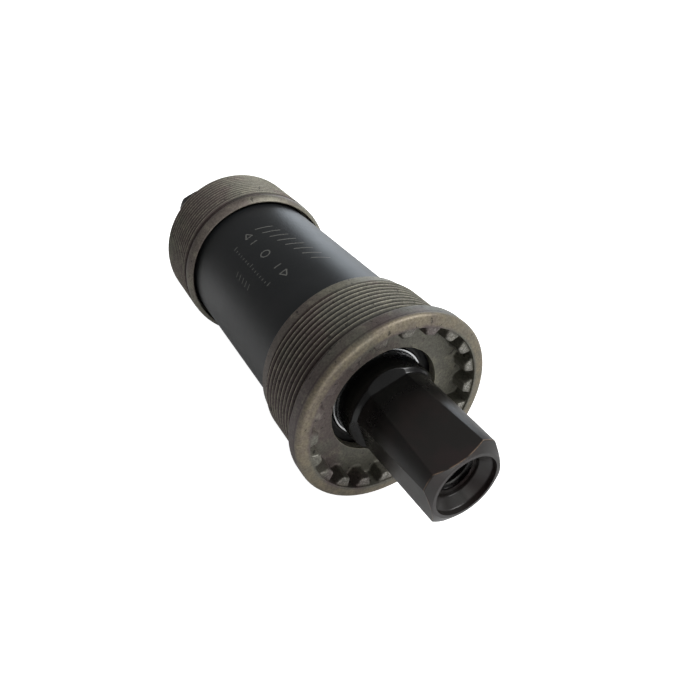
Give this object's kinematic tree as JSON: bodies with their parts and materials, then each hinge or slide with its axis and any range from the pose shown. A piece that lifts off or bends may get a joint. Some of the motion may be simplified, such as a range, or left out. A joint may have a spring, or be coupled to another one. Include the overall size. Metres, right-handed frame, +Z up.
{
  "type": "bicycle bottom bracket",
  "caption": "Sealed cartridge bottom bracket: tapered square spindle on ball bearings in a round shell, with a flanged threaded cup and a loose threaded cup.",
  "frame": {"origin": "on the spindle axis, midway between the faces of the 68 mm frame shell that it fits", "axes": "+X along the spindle to the drive (chainring) side, +Y forwards as fitted to a bicycle, +Z up"},
  "size_m": [0.1135, 0.0372, 0.0372],
  "materials": {
    "phosphate_steel": "satin grey-brown phosphate-coated steel, lighter where edges are worn",
    "black_shell": "satin black coated steel tube with faint etched setting marks",
    "black_spindle": "black oxide steel, brown where the corners are worn",
    "bearing_steel": "ground and polished bearing steel",
    "seal_rubber": "matt black nitrile rubber",
    "nylon": "natural tan nylon"
  },
  "bodies": {
    "cartridge": {"cartridge_shell": "black_shell", "drive_cup": "phosphate_steel", "drive_outer_race": "bearing_steel", "drive_outer_seal": "seal_rubber", "drive_inner_seal": "seal_rubber", "left_outer_race": "bearing_steel", "left_outer_seal": "seal_rubber", "left_inner_seal": "seal_rubber"},
    "spindle": {"spindle": "black_spindle", "drive_inner_race": "bearing_steel", "left_inner_race": "bearing_steel"},
    "drive_ball_set": {"drive_ball_cage": "nylon", "drive_ball_01": "bearing_steel", "drive_ball_02": "bearing_steel", "drive_ball_03": "bearing_steel", "drive_ball_04": "bearing_steel", "drive_ball_05": "bearing_steel", "drive_ball_06": "bearing_steel", "drive_ball_07": "bearing_steel", "drive_ball_08": "bearing_steel", "drive_ball_09": "bearing_steel", "drive_ball_10": "bearing_steel", "drive_ball_11": "bearing_steel"},
    "left_ball_set": {"left_ball_cage": "nylon", "left_ball_01": "bearing_steel", "left_ball_02": "bearing_steel", "left_ball_03": "bearing_steel", "left_ball_04": "bearing_steel", "left_ball_05": "bearing_steel", "left_ball_06": "bearing_steel", "left_ball_07": "bearing_steel", "left_ball_08": "bearing_steel", "left_ball_09": "bearing_steel", "left_ball_10": "bearing_steel", "left_ball_11": "bearing_steel"},
    "left_cup": {"left_cup": "phosphate_steel"}
  },
  "joints": [
    {"name": "spindle_spin", "type": "hinge", "parent": "cartridge", "child": "spindle", "pos_m": [0, 0, 0], "axis": [1, 0, 0], "continuous": true},
    {"name": "drive_ball_orbit", "type": "hinge", "parent": "cartridge", "child": "drive_ball_set", "pos_m": [0.0277, 0, 0], "axis": [1, 0, 0], "continuous": true},
    {"name": "left_ball_orbit", "type": "hinge", "parent": "cartridge", "child": "left_ball_set", "pos_m": [-0.0255, 0, 0], "axis": [1, 0, 0], "continuous": true},
    {"name": "left_cup_slide", "type": "slide", "parent": "cartridge", "child": "left_cup", "axis": [-1, 0, 0], "range_m": [0, 0.04]}
  ],
  "couplings": [
    {"joint": "drive_ball_orbit", "follows": "spindle_spin", "ratio": 0.41555},
    {"joint": "left_ball_orbit", "follows": "spindle_spin", "ratio": 0.41555}
  ]
}
